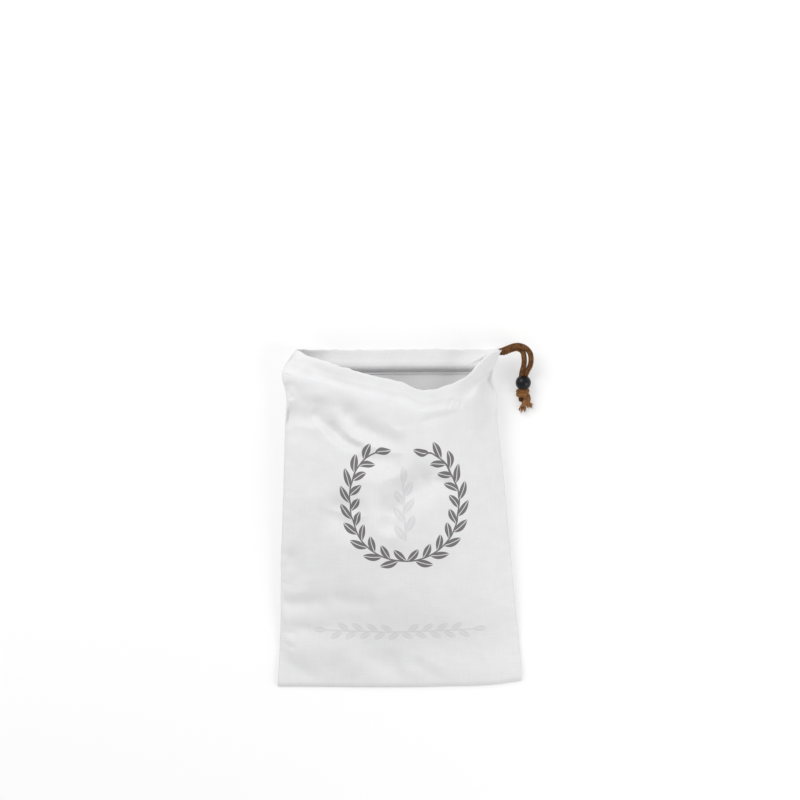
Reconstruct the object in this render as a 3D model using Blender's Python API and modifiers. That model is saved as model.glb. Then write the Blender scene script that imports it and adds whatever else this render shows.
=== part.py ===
"""A drawstring bread bag of white cotton, lying on its back with the mouth open, rounded as if it were full.

Two panels are sewn face to face along both sides and the bottom. At the mouth each panel is folded to
the inside and stitched down, which makes a casing. One cord runs through the front casing, turns at the
left side, comes back through the back casing and leaves at the right end, where its two strands pass
through a bead and end in a knot.

Sizes in the tables are millimetres. X runs across the bag, "up" from its bottom edge towards the mouth,
and Z is height. "across" is 0 at the left seam and 1 at the right, "down" is measured from the mouth edge,
and "inward" from the middle of a panel's outer layer. The origin is the middle of the bag's footprint.
"""

import math
from collections import namedtuple

import bmesh
import bpy
import numpy as np

MM = 0.001
COLLECTION = "bread_bag"

CLOTH = 1.1
GAP = 0.42
BAG_LENGTH = 350.8
FOOTPRINT_MIDDLE = 175.3
SEAM_LIFT = (CLOTH + GAP) / 2

SEAM_LIP = 0.0137
FRONT_ARCH = 2.2
FULL_FOLD_RISE = 4.0
BACK_CURL = 0.2
BACK_RIPPLE_START = 0.2

CASING_DEPTH = 24.5
CASING_INSET = 0.12
EXIT_SPREAD = 7.3
EXIT_DEPTH = 30.0
EXIT_REACH = 0.2

FRONT_COLUMNS = 30
BACK_COLUMNS = 26
FRONT_ROWS = 16
BACK_ROWS = 12
ROW_EASE = 1.35
NEAR_ACROSS = 0.004
NEAR_DOWN = 1.0

CORD_RADIUS = 2.35
PULLED_RADIUS = 2.1
CORD_SIDES = 2
CORD_GAP = 0.5
FINE_POINTS = 60
CASING_CORD_STEP = 6.5
STRAND_STEP = 4.4
TAIL_STEP = 2.5
CORD_INWARD = CLOTH / 2 + CORD_RADIUS + 0.7
HELD_ACROSS = (0.88, 0.13)
HELD_POINTS = 14
HELD_DOWN = 17.0
EXIT_ACROSS = (0.985, 0.965, 0.94, 0.91)
EXIT_DOWN = 4.5

BEAD_RADIUS = 8.0
BEAD_BORE = 5.15
BEAD_CENTRE = (128.6, 315.7, 8.0)
BEAD_ARC_POINTS = 11
BEAD_STEPS = 28

Section = namedtuple("Section", "up left right seam rise")
SECTIONS = (
    Section(up=0.0, left=-126.6, right=125.6, seam=1.31, rise=0.0),
    Section(up=4.0, left=-126.6, right=126.2, seam=1.31, rise=0.0),
    Section(up=16.0, left=-126.0, right=126.6, seam=1.6, rise=2.2),
    Section(up=46.0, left=-124.3, right=124.2, seam=3.0, rise=13.0),
    Section(up=84.6, left=-123.4, right=120.5, seam=7.0, rise=28.0),
    Section(up=131.4, left=-123.2, right=116.2, seam=9.6, rise=42.0),
    Section(up=172.9, left=-121.7, right=112.3, seam=12.0, rise=48.5),
    Section(up=221.8, left=-120.1, right=107.9, seam=15.0, rise=50.0),
    Section(up=274.9, left=-118.8, right=101.8, seam=18.0, rise=49.0),
    Section(up=307.1, left=-118.2, right=100.3, seam=20.0, rise=47.0),
    Section(up=319.6, left=-122.0, right=96.6, seam=20.6, rise=46.0),
    Section(up=328.9, left=-121.2, right=98.1, seam=21.0, rise=45.5),
    Section(up=339.4, left=-115.4, right=100.8, seam=21.6, rise=45.0),
    Section(up=350.8, left=-106.6, right=105.0, seam=22.0, rise=44.0),
)

Edge = namedtuple("Edge", "across up")
BOTTOM_EDGE = (
    Edge(across=0.0, up=0.0),
    Edge(across=0.7, up=0.2),
    Edge(across=0.9, up=2.4),
    Edge(across=1.0, up=6.0),
)
FRONT_MOUTH = (
    Edge(across=0.0, up=350.8),
    Edge(across=0.05, up=346.1),
    Edge(across=0.155, up=339.4),
    Edge(across=0.33, up=328.6),
    Edge(across=0.5, up=319.1),
    Edge(across=0.57, up=315.4),
    Edge(across=0.635, up=308.0),
    Edge(across=0.69, up=307.9),
    Edge(across=0.77, up=312.7),
    Edge(across=0.83, up=317.0),
    Edge(across=0.895, up=325.4),
    Edge(across=0.93, up=337.7),
    Edge(across=0.955, up=345.0),
    Edge(across=1.0, up=349.8),
)
BACK_MOUTH = (
    Edge(across=0.0, up=350.8),
    Edge(across=0.3, up=349.6),
    Edge(across=0.7, up=350.2),
    Edge(across=1.0, up=349.8),
)

Fold = namedtuple("Fold", "x up x_end up_end width rise")
FRONT_FOLDS = (
    Fold(x=-84, up=293, x_end=-66, up_end=269, width=9, rise=-3.2),
    Fold(x=-66, up=269, x_end=-44, up_end=257, width=9, rise=-1.8),
    Fold(x=-55, up=291, x_end=-31, up_end=274, width=9, rise=-2.0),
    Fold(x=27, up=223, x_end=-13, up_end=189, width=15, rise=-2.4),
    Fold(x=-59, up=197, x_end=-54, up_end=200, width=8, rise=-1.4),
    Fold(x=-112, up=131, x_end=-100, up_end=118, width=8, rise=-1.6),
    Fold(x=-114, up=85, x_end=-100, up_end=86, width=6, rise=-1.2),
    Fold(x=-114, up=59, x_end=-98, up_end=60, width=6, rise=-1.1),
    Fold(x=94, up=318, x_end=86, up_end=275, width=7, rise=-3.2),
    Fold(x=-39, up=46, x_end=-7, up_end=26, width=13, rise=-2.0),
    Fold(x=-110, up=312, x_end=-100, up_end=298, width=6, rise=-2.4),
    Fold(x=-104, up=301, x_end=-50, up_end=288, width=8, rise=-1.8),
)
BACK_FOLDS = (
    Fold(x=-20, up=340, x_end=-28, up_end=250, width=17, rise=2.2),
    Fold(x=38, up=338, x_end=30, up_end=270, width=15, rise=1.8),
)

Layer = namedtuple("Layer", "down front back")
OUTER_LAYER = (
    Layer(down=22.0, front=-0.7, back=0.0),
    Layer(down=19.5, front=-1.9, back=0.0),
    Layer(down=17.0, front=-2.4, back=0.0),
    Layer(down=14.0, front=-1.9, back=0.0),
    Layer(down=10.0, front=-0.8, back=0.0),
    Layer(down=5.0, front=0.0, back=0.0),
    Layer(down=1.3, front=0.0, back=0.0),
    Layer(down=0.4, front=0.4, back=0.4),
    Layer(down=0.0, front=1.3, back=1.3),
)
INNER_LAYER = (
    Layer(down=0.4, front=2.2, back=2.2),
    Layer(down=1.3, front=2.6, back=2.6),
    Layer(down=5.0, front=2.9, back=2.9),
    Layer(down=10.0, front=3.6, back=4.4),
    Layer(down=14.0, front=4.3, back=6.4),
    Layer(down=17.0, front=4.5, back=6.9),
    Layer(down=19.5, front=4.1, back=6.2),
    Layer(down=22.0, front=2.8, back=3.6),
    Layer(down=24.5, front=1.5, back=1.5),
)

Place = namedtuple("Place", "x up z")
OUTER_STRAND = (
    Place(x=107.6, up=349.6, z=24.1),
    Place(x=115.0, up=352.7, z=23.6),
    Place(x=122.5, up=354.4, z=22.4),
    Place(x=130.0, up=352.3, z=20.5),
    Place(x=135.1, up=347.2, z=18.3),
    Place(x=136.6, up=340.1, z=15.4),
    Place(x=135.7, up=333.5, z=12.4),
    Place(x=132.9, up=328.2, z=9.6),
    Place(x=131.1, up=322.8, z=8.1),
    Place(x=131.1, up=315.7, z=8.0),
    Place(x=131.1, up=309.4, z=8.0),
)
INNER_STRAND = (
    Place(x=107.6, up=346.9, z=20.1),
    Place(x=115.0, up=349.6, z=18.8),
    Place(x=122.4, up=351.2, z=17.5),
    Place(x=127.5, up=348.4, z=15.8),
    Place(x=129.4, up=341.4, z=13.7),
    Place(x=129.2, up=333.8, z=11.4),
    Place(x=127.6, up=327.8, z=9.5),
    Place(x=126.1, up=322.8, z=8.1),
    Place(x=126.1, up=315.7, z=8.0),
    Place(x=126.1, up=309.4, z=8.0),
)
LEFT_TURN = Place(x=-107.6, up=332.8, z=20.8)

Ring = namedtuple("Ring", "x up z wide high turn lean")
KNOT_CENTRE = Place(x=128.6, up=302.8, z=5.25)
KNOT_RINGS = (
    Ring(x=0.0, up=3.9, z=0.2, wide=4.9, high=3.2, turn=0.0, lean=4.0),
    Ring(x=-0.2, up=-0.6, z=0.0, wide=4.9, high=3.3, turn=-34.0, lean=-10.0),
    Ring(x=-1.6, up=-3.4, z=0.0, wide=2.9, high=3.0, turn=24.0, lean=0.0),
)
RING_POINTS = 14
KNOT_CORE_UP = (306.3, 298.6)
KNOT_CORE_RADIUS = 3.4
KNOT_VOXEL = 0.55
KNOT_SOFTENING = 3
KNOT_FACES_KEPT = 0.16

TAIL_LEFT = (
    Place(x=125.9, up=296.0, z=4.0),
    Place(x=125.8, up=291.0, z=2.8),
    Place(x=126.4, up=286.2, z=2.3),
)
TAIL_RIGHT = (
    Place(x=130.9, up=296.1, z=4.2),
    Place(x=133.2, up=292.8, z=2.9),
    Place(x=136.2, up=290.4, z=2.3),
)


def curve_through(places, values, at):
    """The smooth curve through a row of values, read at other places."""
    slopes = np.gradient(values, places)
    at = np.clip(at, places[0], places[-1])
    row = np.clip(np.searchsorted(places, at, side="right") - 1, 0, len(places) - 2)
    step = places[row + 1] - places[row]
    s = (at - places[row]) / step
    from_row = (1 + 2 * s) * (1 - s) ** 2 * values[row] + s * (1 - s) ** 2 * step * slopes[row]
    to_next = s * s * (3 - 2 * s) * values[row + 1] + s * s * (s - 1) * step * slopes[row + 1]
    return from_row + to_next


def column(table, place, name, at):
    """One column of a table as a smooth curve along another of its columns."""
    places = np.array([getattr(row, place) for row in table])
    values = np.array([getattr(row, name) for row in table])
    return curve_through(places, values, at)


def fold_rise(folds, x, up):
    """How far the soft folds lift or sink the cloth."""
    total = np.zeros_like(x)
    for fold in folds:
        run_x, run_up = fold.x_end - fold.x, fold.up_end - fold.up
        share = ((x - fold.x) * run_x + (up - fold.up) * run_up) / (run_x**2 + run_up**2)
        share = np.clip(share, 0, 1)
        apart = np.hypot(x - fold.x - share * run_x, up - fold.up - share * run_up)
        total += fold.rise * np.exp(-((apart / fold.width) ** 2))
    return total


def plan(mouth, across, down):
    """x, up and the share of the way in from the nearer seam, for a place so far below the mouth edge."""
    top = column(mouth, "across", "up", across)
    up = top - down
    left = column(SECTIONS, "up", "left", up)
    right = column(SECTIONS, "up", "right", up)
    from_seam = np.clip(np.minimum(across, 1 - across) - SEAM_LIP, 0, 1)
    return left + (right - left) * across, up, from_seam


def exit_spread(across, up):
    """How far each panel stands off the right seam where the cord leaves."""
    near_mouth = np.clip(1 - (BAG_LENGTH - up) / EXIT_DEPTH, 0, 1) ** 1.5
    near_side = np.clip((across - 1 + EXIT_REACH) / EXIT_REACH, 0, 1)
    return EXIT_SPREAD * near_mouth * near_side**2 * (3 - 2 * near_side)


def front_surface(across, down):
    """The middle of the front panel's outer layer."""
    x, up, from_seam = plan(FRONT_MOUTH, across, down)
    seam = column(SECTIONS, "up", "seam", up)
    rise = column(SECTIONS, "up", "rise", up)
    arch = 1 - (1 - np.clip(from_seam / (0.5 - SEAM_LIP), 0, 1)) ** FRONT_ARCH
    free = np.clip(rise * arch / FULL_FOLD_RISE, 0, 1)
    z = seam + SEAM_LIFT + exit_spread(across, up) + rise * arch + free * fold_rise(FRONT_FOLDS, x, up)
    return np.stack([x, up, z], axis=-1)


def back_surface(across, down):
    """The middle of the back panel's outer layer, flat on the surface but for its curled sides."""
    x, up, from_seam = plan(BACK_MOUTH, across, down)
    seam = column(SECTIONS, "up", "seam", up) - SEAM_LIFT - exit_spread(across, up)
    curl = (1 - np.clip(from_seam / BACK_CURL, 0, 1)) ** 2
    rest = CLOTH / 2
    ripple = np.clip(fold_rise(BACK_FOLDS, x, up) - BACK_RIPPLE_START, 0, None)
    return np.stack([x, up, rest + (seam - rest) * curl + ripple], axis=-1)


PANELS = {"front": (front_surface, FRONT_MOUTH, -1), "back": (back_surface, BACK_MOUTH, 1)}


def casing_fullness(across):
    """How much of the casing's roundness a place keeps: none at the seams, where the panels meet."""
    share = np.clip((np.minimum(across, 1 - across) - SEAM_LIP) / (CASING_INSET / 2), 0, 1)
    return share**2 * (3 - 2 * share)


def cloth_point(side, across, down, inward):
    """A place on a panel, so far to the inside of its outer layer."""
    surface, _, inside = PANELS[side]
    sideways = surface(across + NEAR_ACROSS, down) - surface(across - NEAR_ACROSS, down)
    upwards = surface(across, down - NEAR_DOWN) - surface(across, down + NEAR_DOWN)
    normal = np.cross(sideways, upwards)
    normal /= np.linalg.norm(normal, axis=-1, keepdims=True)
    return surface(across, down) + normal * inside * np.asarray(inward)[..., None]


def world(point):
    """A table's x, up and z as metres about the middle of the footprint."""
    x, up, z = point
    return x * MM, (up - FOOTPRINT_MIDDLE) * MM, z * MM


def across_stations(count):
    """Places across a panel, closer together at the steep sides, with one at each seam's inner edge."""
    even = np.linspace(0, 1, count - 1)
    eased = 0.5 * even + 0.5 * (0.5 - 0.5 * np.cos(np.pi * even))
    inner = SEAM_LIP + (1 - 2 * SEAM_LIP) * eased
    return np.concatenate([[0.0], inner, [1.0]])


def body_stations(rows):
    """Shares of the way from the bottom edge to the casing, closer together at the bottom seam."""
    return np.linspace(0, 1, rows + 1) ** ROW_EASE


def make_panel(name, side, across, body, look):
    """One panel with its hem folded in as the casing: a grid laid on the surface, thickened to the cloth."""
    surface, mouth, inside = PANELS[side]
    top = column(mouth, "across", "up", across)
    length = top - column(BOTTOM_EDGE, "across", "up", across)
    casing = OUTER_LAYER + INNER_LAYER
    mesh = bmesh.new()
    row_count = len(body) + len(casing)
    made = bmesh.ops.create_grid(mesh, x_segments=len(across) - 1, y_segments=row_count - 1, size=0.5)
    mesh.verts.ensure_lookup_table()
    grid = [made["verts"][row * len(across) : (row + 1) * len(across)] for row in range(row_count)]
    for row, verts in enumerate(grid):
        if row < len(body):
            down = CASING_DEPTH + (length - CASING_DEPTH) * (1 - body[row])
            inward = 0.0
        else:
            layer = casing[row - len(body)]
            down = np.full_like(across, layer.down)
            inward = getattr(layer, side)
        points = cloth_point(side, across, down, inward * casing_fullness(across))
        for vert, point in zip(verts, points):
            vert.co = world(point)
    open_ends = [
        vert
        for verts in grid[-len(INNER_LAYER) :]
        for vert, place in zip(verts, across)
        if place < CASING_INSET or place > 1 - CASING_INSET
    ]
    bmesh.ops.delete(mesh, geom=open_ends, context="VERTS")
    if inside > 0:
        bmesh.ops.reverse_faces(mesh, faces=mesh.faces)
    panel = add_mesh(name, mesh, look)
    solidify = panel.modifiers.new("Cloth", "SOLIDIFY")
    solidify.thickness = CLOTH * MM
    solidify.offset = 0.0
    solidify.use_even_offset = True
    panel.data.shade_smooth()
    return panel


def make_look(name, colour, roughness):
    """A plain material of one colour."""
    material = bpy.data.materials.new(name)
    material.use_nodes = True
    shader = material.node_tree.nodes["Principled BSDF"]
    shader.inputs["Base Color"].default_value = (*colour, 1.0)
    shader.inputs["Roughness"].default_value = roughness
    shader.inputs["Metallic"].default_value = 0.0
    return material


def add_object(name, data, look):
    obj = bpy.data.objects.new(name, data)
    bpy.data.collections[COLLECTION].objects.link(obj)
    data.materials.append(look)
    return obj


def add_mesh(name, mesh, look):
    data = bpy.data.meshes.new(name)
    mesh.to_mesh(data)
    mesh.free()
    return add_object(name, data, look)


def run_along(points):
    """How far along a line each of its points is."""
    return np.concatenate([[0.0], np.cumsum(np.linalg.norm(np.diff(points, axis=0), axis=1))])


def spaced(points, step):
    """The same line with points about one step apart."""
    run = run_along(points)
    places = np.linspace(0, run[-1], max(2, round(run[-1] / step)) + 1)
    return np.stack([np.interp(places, run, points[:, axis]) for axis in range(3)], axis=-1)


def smooth_route(points, step):
    """Points about one step apart on the smooth curve through a route's own points."""
    points = np.array(points, float)
    run = run_along(points)
    fine = np.linspace(0, run[-1], FINE_POINTS * len(points))
    line = np.stack([curve_through(run, points[:, axis], fine) for axis in range(3)], axis=-1)
    return spaced(line, step)


def make_tube(name, points, radius, look):
    """A round cord along a row of points."""
    curve = bpy.data.curves.new(name, "CURVE")
    curve.dimensions = "3D"
    curve.bevel_depth = radius * MM
    curve.bevel_resolution = CORD_SIDES
    curve.use_fill_caps = True
    spline = curve.splines.new("POLY")
    spline.points.add(len(points) - 1)
    for place, point in enumerate(points):
        spline.points[place].co = (*world(point), 1.0)
    return add_object(name, curve, look)


def held_run(side):
    """The cord's way through one casing from the right end to the left, close under the outer layer."""
    outer = sorted(OUTER_LAYER[:-2])
    downs = np.array([layer.down for layer in outer])
    bulges = np.array([getattr(layer, side) for layer in outer])
    across = np.concatenate([EXIT_ACROSS, np.linspace(*HELD_ACROSS, HELD_POINTS)])
    down = np.interp(across, [HELD_ACROSS[0], EXIT_ACROSS[0]], [HELD_DOWN, EXIT_DOWN])
    bulge = np.interp(down, downs, bulges) * casing_fullness(across)
    return cloth_point(side, across, down, bulge + CORD_INWARD)


def split_cord():
    """The whole cord as three runs: outer strand, the run held in the casing, and inner strand."""
    outer = [np.array(place, float) for place in OUTER_STRAND]
    inner = [np.array(place, float) for place in INNER_STRAND]
    held = [*held_run("front"), np.array(LEFT_TURN, float), *held_run("back")[::-1]]
    route = smooth_route([*outer[::-1], *held, *inner], CORD_GAP)
    start = int(np.argmin(np.linalg.norm(route - outer[0], axis=1)))
    end = int(np.argmin(np.linalg.norm(route - inner[0], axis=1)))
    return route[:start], route[start + 1 : end], route[end + 1 :]


def make_bead(look):
    """A round bead, turned about its bore, which lies along the strands."""
    rim = math.acos(BEAD_BORE / BEAD_RADIUS)
    profile = bmesh.new()
    outline = []
    for angle in np.linspace(rim, -rim, BEAD_ARC_POINTS):
        x, z = BEAD_RADIUS * math.cos(angle), BEAD_RADIUS * math.sin(angle)
        outline.append(profile.verts.new((x * MM, 0, z * MM)))
    for vert, after in zip(outline, outline[1:] + outline[:1]):
        profile.edges.new((vert, after))
    bead = add_mesh("bead", profile, look)
    turn = bead.modifiers.new("Turned", "SCREW")
    turn.axis = "Z"
    turn.steps = turn.render_steps = BEAD_STEPS
    turn.use_merge_vertices = True
    turn.merge_threshold = 1e-5
    bead.location = world(BEAD_CENTRE)
    bead.rotation_euler = (math.pi / 2, 0, 0)
    return bead


def ring_points(ring):
    """One wrap of the knot: an oval about the strands, turned in the plan and leant along them."""
    turn, lean = math.radians(ring.turn), math.radians(ring.lean)
    points = []
    for place in range(RING_POINTS):
        angle = 2 * math.pi * place / RING_POINTS
        side, rise = ring.wide * math.cos(angle), ring.high * math.sin(angle)
        x = KNOT_CENTRE.x + ring.x + side * math.cos(turn)
        up = KNOT_CENTRE.up + ring.up + side * math.sin(turn) + rise * math.sin(lean)
        points.append((x, up, KNOT_CENTRE.z + ring.z + rise))
    return points


def make_knot(look):
    """The tight knot below the bead: wraps of the cord fused into one lump."""
    pieces = []
    for ring in KNOT_RINGS:
        wrap = make_tube("knot_wrap", ring_points(ring), PULLED_RADIUS, look)
        wrap.data.splines[0].use_cyclic_u = True
        pieces.append(wrap)
    core = [(KNOT_CENTRE.x, up, KNOT_CENTRE.z) for up in np.linspace(*KNOT_CORE_UP, 5)]
    pieces.append(make_tube("knot_core", core, KNOT_CORE_RADIUS, look))
    graph = bpy.context.evaluated_depsgraph_get()
    lump = bmesh.new()
    for piece in pieces:
        data = bpy.data.meshes.new_from_object(piece.evaluated_get(graph))
        lump.from_mesh(data)
        bpy.data.meshes.remove(data)
        bpy.data.objects.remove(piece)
    knot = add_mesh("knot", lump, look)
    fuse = knot.modifiers.new("Fused", "REMESH")
    fuse.mode = "VOXEL"
    fuse.voxel_size = KNOT_VOXEL * MM
    relax = knot.modifiers.new("Softened", "SMOOTH")
    relax.iterations = KNOT_SOFTENING
    thin = knot.modifiers.new("Coarser", "DECIMATE")
    thin.ratio = KNOT_FACES_KEPT
    return knot


def main():
    for obj in list(bpy.data.objects):
        bpy.data.objects.remove(obj)
    bpy.context.scene.collection.children.link(bpy.data.collections.new(COLLECTION))

    cotton = make_look("white_cotton", (0.80, 0.80, 0.82), 0.9)
    cord_yarn = make_look("brown_cord", (0.145, 0.062, 0.022), 0.85)
    lacquer = make_look("black_lacquer", (0.012, 0.013, 0.016), 0.35)

    make_panel("front_panel", "front", across_stations(FRONT_COLUMNS), body_stations(FRONT_ROWS), cotton)
    make_panel("back_panel", "back", across_stations(BACK_COLUMNS), body_stations(BACK_ROWS), cotton)

    outer, held, inner = split_cord()
    make_tube("strand_outer", spaced(outer, STRAND_STEP), CORD_RADIUS, cord_yarn)
    make_tube("cord_in_casing", spaced(held, CASING_CORD_STEP), CORD_RADIUS, cord_yarn)
    make_tube("strand_inner", spaced(inner, STRAND_STEP), CORD_RADIUS, cord_yarn)
    make_bead(lacquer)
    make_knot(cord_yarn)
    make_tube("tail_left", smooth_route(TAIL_LEFT, TAIL_STEP), PULLED_RADIUS, cord_yarn)
    make_tube("tail_right", smooth_route(TAIL_RIGHT, TAIL_STEP), PULLED_RADIUS, cord_yarn)


main()
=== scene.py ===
"""The looks of a white cotton drawstring bag that lies on its back, its mouth open, rounded as when full.

Sizes in the tables are millimetres. X runs across the bag, "up" from its bottom edge towards the mouth, and
Z is height. "across" is 0 at the left side seam and 1 at the right, "down" is measured from the mouth edge,
and "inward" from the middle of a panel's outer layer. The origin is the middle of the bag's footprint.
"""

import math
from collections import namedtuple

import bmesh
import bpy
import numpy as np
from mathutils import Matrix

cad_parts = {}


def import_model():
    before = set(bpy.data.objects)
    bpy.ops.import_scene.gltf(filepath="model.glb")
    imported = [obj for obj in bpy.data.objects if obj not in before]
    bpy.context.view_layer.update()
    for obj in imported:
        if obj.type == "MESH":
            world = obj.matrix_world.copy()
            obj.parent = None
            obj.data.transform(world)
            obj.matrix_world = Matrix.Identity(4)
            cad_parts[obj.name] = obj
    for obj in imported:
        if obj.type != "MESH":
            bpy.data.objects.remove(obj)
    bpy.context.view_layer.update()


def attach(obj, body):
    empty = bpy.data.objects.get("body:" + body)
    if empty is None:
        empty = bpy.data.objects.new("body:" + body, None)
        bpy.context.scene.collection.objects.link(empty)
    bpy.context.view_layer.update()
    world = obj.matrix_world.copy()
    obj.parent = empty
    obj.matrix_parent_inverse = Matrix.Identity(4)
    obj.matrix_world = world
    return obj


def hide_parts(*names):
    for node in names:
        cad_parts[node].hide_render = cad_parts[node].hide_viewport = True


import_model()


# Camera
# It looks straight down from far above, with the mouth to the top of the picture, so nothing leans.
MM = 0.001
FOOTPRINT_MIDDLE = 175.3
CAMERA_HEIGHT = 10000.0
VIEW_WIDTH = 832.0
VIEW_MIDDLE = (0.5, 297.75)


def world(points):
    """Places given as x, up and height in millimetres, in metres about the middle of the footprint."""
    return (np.asarray(points, float) - (0.0, FOOTPRINT_MIDDLE, 0.0)) * MM


def table(kind, *rows):
    """Rows of numbers with a name for each column."""
    return [kind(*row) for row in rows]


def add_object(name, data):
    """A new object in the scene."""
    obj = bpy.data.objects.new(name, data)
    bpy.context.scene.collection.objects.link(obj)
    return obj


camera_data = bpy.data.cameras.new("camera")
camera_data.sensor_width = 36.0
camera_data.lens = camera_data.sensor_width * CAMERA_HEIGHT / VIEW_WIDTH
camera_data.clip_end = 100.0
camera = add_object("camera", camera_data)
camera.location = world((*VIEW_MIDDLE, CAMERA_HEIGHT))
bpy.context.scene.camera = camera


# Free strands of the drawcord
# One round cord, braided from eight soft cotton yarns and dyed brown. Both of its ends leave the right-hand
# end of the casing, lie in an arc, and come down side by side through the bead.
Place = namedtuple("Place", "x up z")
OUTER_ROUTE = table(
    Place,
    (103.2, 348.2, 24.4),
    (107.6, 349.6, 24.1),
    (115, 352.7, 23.6),
    (122.5, 354.4, 22.4),
    (130, 352.3, 20.5),
    (135.1, 347.2, 18.3),
    (136.6, 340.1, 15.4),
    (135.7, 333.5, 12.4),
    (132.9, 328.2, 9.6),
    (130.9, 322.8, 8.1),
    (130.7, 315.7, 8),
    (130.7, 309.4, 7.8),
)
INNER_ROUTE = table(
    Place,
    (103.4, 347.3, 19.6),
    (107.6, 346.9, 20.1),
    (115, 349.6, 18.8),
    (122.4, 351.2, 17.5),
    (127.5, 348.4, 15.8),
    (129.4, 341.4, 13.7),
    (129.2, 333.8, 11.4),
    (127.6, 327.8, 9.5),
    (126.5, 322.8, 8.1),
    (126.5, 315.7, 8),
    (126.5, 309.4, 7.8),
)
CORD_RADIUS = 2.4
YARNS = 8
BRAID_TURN = 9.6
BRAID_MIDDLE = 0.81
BRAID_WEAVE = 0.2
YARN_HALF_WIDTH = 0.37
YARN_HALF_THICKNESS = 0.27
CORE_SHARE = 0.66
STRAND_STEP = 0.45
FINE_POINTS = 60
MEASURED_AT_ONCE = 4000
FARTHEST_OUT = 1.3
# The darkest yarn colour is painted shade between the yarns, the lightest painted light on their crowns.
YARN_GAP_SHADE = "#23130a"
YARN_BROWN = "#5a3921"
YARN_LIGHT = "#93683f"


def linear(colour):
    """An sRGB hex colour as the linear values that a shader takes."""
    parts = [int(colour[place : place + 2], 16) / 255 for place in (1, 3, 5)]
    return (*[part / 12.92 if part <= 0.04045 else ((part + 0.055) / 1.055) ** 2.4 for part in parts], 1.0)


MATH = "ShaderNodeMath"


def add_node(tree, kind, inputs=None, **settings):
    """Adds a node with its settings. inputs gives each socket a value, or the node or socket feeding it."""
    node = tree.nodes.new(kind)
    for name, value in settings.items():
        setattr(node, name, value)
    for name, value in (inputs or {}).items():
        value = value.outputs[0] if isinstance(value, bpy.types.Node) else value
        if isinstance(value, bpy.types.NodeSocket):
            tree.links.new(value, node.inputs[name])
        else:
            node.inputs[name].default_value = value
    return node


def new_material(name, constants):
    """A material, its tree, and its Principled shader with what is the same all over the surface."""
    material = bpy.data.materials.new(name)
    material.use_nodes = True
    shader = material.node_tree.nodes["Principled BSDF"]
    for socket, value in constants.items():
        shader.inputs[socket].default_value = value
    return material, material.node_tree, shader


def add_mesh(name, points, faces, material, maps=None, values=None):
    """A smooth mesh object. maps are UV maps given by point, and values are numbers given by point."""
    mesh = bpy.data.meshes.new(name)
    mesh.from_pydata(world(points).tolist(), [], [tuple(face) for face in faces])
    corners = np.zeros(len(mesh.loops), int)
    mesh.loops.foreach_get("vertex_index", corners)
    for map_name, places in (maps or {}).items():
        layer = mesh.uv_layers.new(name=map_name)
        layer.data.foreach_set("uv", (np.asarray(places)[corners] * MM).astype(np.float32).ravel())
    for value_name, numbers in (values or {}).items():
        attribute = mesh.attributes.new(value_name, "FLOAT", "POINT")
        attribute.data.foreach_set("value", np.asarray(numbers, np.float32))
    mesh.shade_smooth()
    mesh.materials.append(material)
    return add_object(name, mesh)


def curve_through(places, values, at):
    """The smooth curve through a row of values, read at other places."""
    slopes = np.gradient(values, places)
    at = np.clip(at, places[0], places[-1])
    row = np.clip(np.searchsorted(places, at, side="right") - 1, 0, len(places) - 2)
    step = places[row + 1] - places[row]
    s = (at - places[row]) / step
    from_row = (1 + 2 * s) * (1 - s) ** 2 * values[row] + s * (1 - s) ** 2 * step * slopes[row]
    to_next = s * s * (3 - 2 * s) * values[row + 1] + s * s * (s - 1) * step * slopes[row + 1]
    return from_row + to_next


def run_along(points):
    """How far along a line each of its points is."""
    return np.concatenate([[0.0], np.cumsum(np.linalg.norm(np.diff(points, axis=0), axis=1))])


def smooth_route(points, step):
    """Points about one step apart on the smooth curve through a route's own points."""
    points = np.array(points, float)
    run = run_along(points)
    fine = np.linspace(0, run[-1], FINE_POINTS * len(points))
    line = np.stack([curve_through(run, points[:, axis], fine) for axis in range(3)], axis=-1)
    run = run_along(line)
    places = np.linspace(0, run[-1], max(2, round(run[-1] / step)) + 1)
    return np.stack([np.interp(places, run, line[:, axis]) for axis in range(3)], axis=-1)


def unit(vectors):
    """Vectors scaled to a length of one."""
    return vectors / np.linalg.norm(vectors, axis=-1, keepdims=True)


def ways_across(line):
    """A line's direction at each point, and two directions across it that turn as little as they can."""
    along = unit(np.gradient(line, axis=0))
    side = np.cross(along, (0.0, 0.0, 1.0))
    side[0] = unit(side[0] if np.linalg.norm(side[0]) > 0.1 else np.array((1.0, 0.0, 0.0)))
    for place in range(1, len(line)):
        side[place] = unit(side[place - 1] - side[place - 1].dot(along[place]) * along[place])
    return along, side, np.cross(along, side)


def tube(line, wide_way, wide, thick_way, thick, sides):
    """An oval tube along a line: its points, its faces with closed ends, and places along and around it."""
    angles = 2 * np.pi * np.arange(sides) / sides
    wide = np.broadcast_to(wide, len(line))[:, None, None]
    thick = np.broadcast_to(thick, len(line))[:, None, None]
    rings = line[:, None] + wide_way[:, None] * wide * np.cos(angles)[None, :, None]
    rings = rings + thick_way[:, None] * thick * np.sin(angles)[None, :, None]
    first = np.arange(len(line) - 1)[:, None] * sides
    here, following = np.arange(sides)[None], (np.arange(sides)[None] + 1) % sides
    corners = [first + here, first + following, first + sides + following, first + sides + here]
    faces = np.stack(corners, axis=-1).reshape(-1, 4).tolist()
    faces += [list(range(sides))[::-1], list(range((len(line) - 1) * sides, len(line) * sides))]
    places = np.stack(np.broadcast_arrays(run_along(line)[:, None], angles[None]), axis=-1)
    return rings.reshape(-1, 3), faces, places.reshape(-1, 2)


def join(parts):
    """Several sets of points, faces and places as one set."""
    points, faces, places, start = [], [], [], 0
    for part_points, part_faces, part_places in parts:
        points.append(part_points)
        places.append(part_places)
        faces += [[corner + start for corner in face] for face in part_faces]
        start += len(part_points)
    return np.concatenate(points), faces, np.concatenate(places)


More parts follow.
